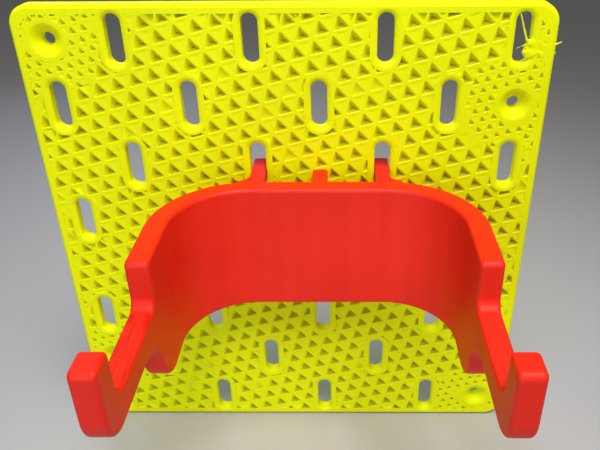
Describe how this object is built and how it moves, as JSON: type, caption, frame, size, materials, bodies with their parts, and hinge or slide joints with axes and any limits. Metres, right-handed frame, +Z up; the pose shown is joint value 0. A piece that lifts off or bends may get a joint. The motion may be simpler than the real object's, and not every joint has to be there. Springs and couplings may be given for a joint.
{
  "type": "pegboard tool wall",
  "caption": "Small square slotted pegboard with a U-shaped tool holder hooked into its slots; the holder lifts straight up to come off.",
  "frame": {"origin": "centre of the board's back face, on the wall side", "axes": "+X to the right seen from the front, +Y into the wall, +Z up"},
  "size_m": [0.16, 0.108, 0.16],
  "materials": {
    "board_plastic": "lemon yellow 3-D printed plastic, open infill on the front",
    "holder_plastic": "orange-red 3-D printed plastic, fine layer lines"
  },
  "bodies": {
    "board": {"slotted_board": "board_plastic"},
    "holder": {"tool_holder": "holder_plastic"}
  },
  "joints": [
    {"name": "holder_lift", "type": "slide", "parent": "board", "child": "holder", "axis": [0, 0, 1], "range_m": [0, 0.007]}
  ]
}
